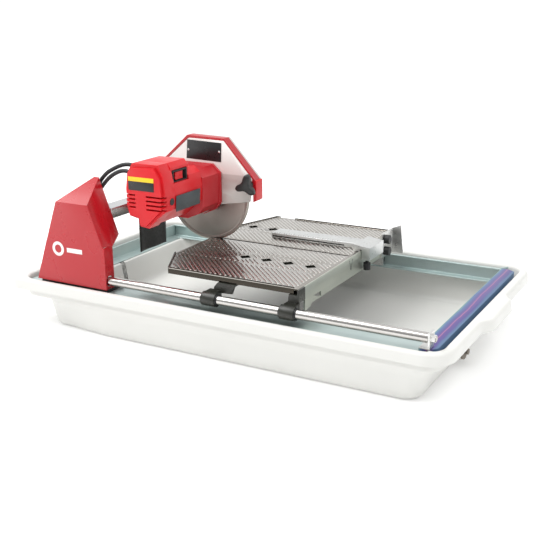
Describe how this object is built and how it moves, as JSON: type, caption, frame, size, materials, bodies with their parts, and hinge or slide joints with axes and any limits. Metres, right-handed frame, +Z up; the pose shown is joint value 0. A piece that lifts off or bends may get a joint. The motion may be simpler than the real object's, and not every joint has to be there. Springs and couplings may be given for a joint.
{
  "type": "wet tile saw",
  "caption": "Bench wet tile saw: a geared motor and guarded diamond blade on a tower, over a rolling table in a moulded water pan.",
  "frame": {"origin": "on the floor, under the middle of the pan", "axes": "+X along the pan to the operator's end, +Y away from the tower's side, +Z up"},
  "size_m": [0.871, 0.502, 0.332],
  "materials": {
    "pan_plastic": "moulded",
    "black_rubber": "matt",
    "zinc_plate": "plated",
    "iridescent_plate": "plated, iridescent passivate",
    "bright_rod": "ground and plated",
    "bright_steel": "satin",
    "structure_steel": "satin black",
    "red_paint": "gloss",
    "motor_red": "moulded",
    "gear_case_red": "satin",
    "black_plastic": "moulded",
    "dark_metal": "machined",
    "copper_winding": "varnished",
    "label_grey": "printed film",
    "label_yellow": "printed film",
    "label_black": "printed film",
    "badge_white": "printed film",
    "guard_steel": "satin",
    "table_plate": "nickel plated",
    "black_steel": "gloss black",
    "aluminium": "extruded",
    "lead_sheath": "extruded"
  },
  "bodies": {
    "base": {"pan": "pan_plastic", "rail_near": "zinc_plate", "rail_far": "zinc_plate", "cross_left": "zinc_plate", "cross_right": "iridescent_plate", "frame_bolts": "bright_steel", "guide_rod": "bright_rod", "rod_bracket": "bright_steel", "rod_nut": "bright_steel", "tower_base": "structure_steel", "post": "structure_steel", "tower_cover": "red_paint", "cover_badge": "badge_white", "arm": "bright_rod", "head_bracket": "structure_steel", "flap_bracket": "structure_steel", "splash_flap": "black_rubber", "motor_housing": "motor_red", "motor_end_cap": "motor_red", "gear_case": "gear_case_red", "bearings": "bright_steel", "stator": "dark_metal", "carbon_brushes": "dark_metal", "brush_caps": "black_plastic", "switch_bezel": "black_plastic", "side_label": "label_grey", "end_label_top": "label_yellow", "end_label_bottom": "label_black", "strain_relief": "black_rubber", "power_lead": "lead_sheath", "water_hose": "lead_sheath", "guard_plate": "guard_steel", "plate_label": "label_black"},
    "drain": {"drain_plug": "black_rubber"},
    "switch": {"switch_rocker": "motor_red"},
    "armature": {"armature": "copper_winding", "fan": "badge_white"},
    "arbor": {"driven_gear": "bright_steel", "arbor": "bright_steel", "inner_flange": "bright_steel", "outer_flange": "bright_steel", "arbor_nut": "bright_steel", "blade": "guard_steel"},
    "guard": {"guard_shell": "red_paint", "guard_far_plate": "guard_steel", "guard_nose": "motor_red"},
    "guard_knob": {"guard_knob": "black_plastic"},
    "table": {"table_top": "table_plate", "backstop": "table_plate", "table_legs": "black_steel", "slide_bushings": "black_plastic", "roller_bracket": "bright_steel", "stop_bracket": "bright_steel", "stop_bolts": "black_plastic"},
    "roller_left": {"roller_left": "black_plastic"},
    "roller_right": {"roller_right": "black_plastic"},
    "rip_guide": {"rip_bar": "aluminium", "rip_head": "aluminium"},
    "rip_screw": {"rip_screw": "black_plastic"}
  },
  "joints": [
    {"name": "table_slide", "type": "slide", "parent": "base", "child": "table", "axis": [1, 0, 0], "range_m": [-0.19, 0.195], "deforming": ["splash_flap"]},
    {"name": "roller_left_spin", "type": "hinge", "parent": "table", "child": "roller_left", "pos_m": [-0.0565, 0.2, 0.0706], "axis": [0, 1, 0], "continuous": true},
    {"name": "roller_right_spin", "type": "hinge", "parent": "table", "child": "roller_right", "pos_m": [0.1235, 0.2, 0.0706], "axis": [0, 1, 0], "continuous": true},
    {"name": "rip_slide", "type": "slide", "parent": "table", "child": "rip_guide", "axis": [0, 1, 0], "range_m": [-0.03, 0.024]},
    {"name": "rip_screw_turn", "type": "hinge", "parent": "rip_guide", "child": "rip_screw", "pos_m": [0.1748, 0.037, 0.12], "axis": [0, 0, 1], "continuous": true},
    {"name": "arbor_spin", "type": "hinge", "parent": "base", "child": "arbor", "pos_m": [-0.1335, 0, 0.224], "axis": [0, 1, 0], "continuous": true},
    {"name": "armature_spin", "type": "hinge", "parent": "base", "child": "armature", "pos_m": [-0.1395, -0.1, 0.26102], "axis": [0, 1, 0], "continuous": true},
    {"name": "guard_swing", "type": "hinge", "parent": "base", "child": "guard", "pos_m": [-0.2115, 0, 0.262], "axis": [0, -1, 0], "range_deg": [0, 55]},
    {"name": "guard_knob_turn", "type": "hinge", "parent": "base", "child": "guard_knob", "pos_m": [-0.0375, -0.02, 0.25], "axis": [0, 1, 0], "continuous": true},
    {"name": "switch_rock", "type": "hinge", "parent": "base", "child": "switch", "pos_m": [-0.1075, -0.1334, 0.2835], "axis": [0, 1, 0], "range_deg": [0, 10]},
    {"name": "drain_pull", "type": "slide", "parent": "base", "child": "drain", "axis": [1, 0, 0], "range_m": [0, 0.02]}
  ],
  "couplings": [
    {"joint": "armature_spin", "follows": "arbor_spin", "ratio": -5}
  ]
}
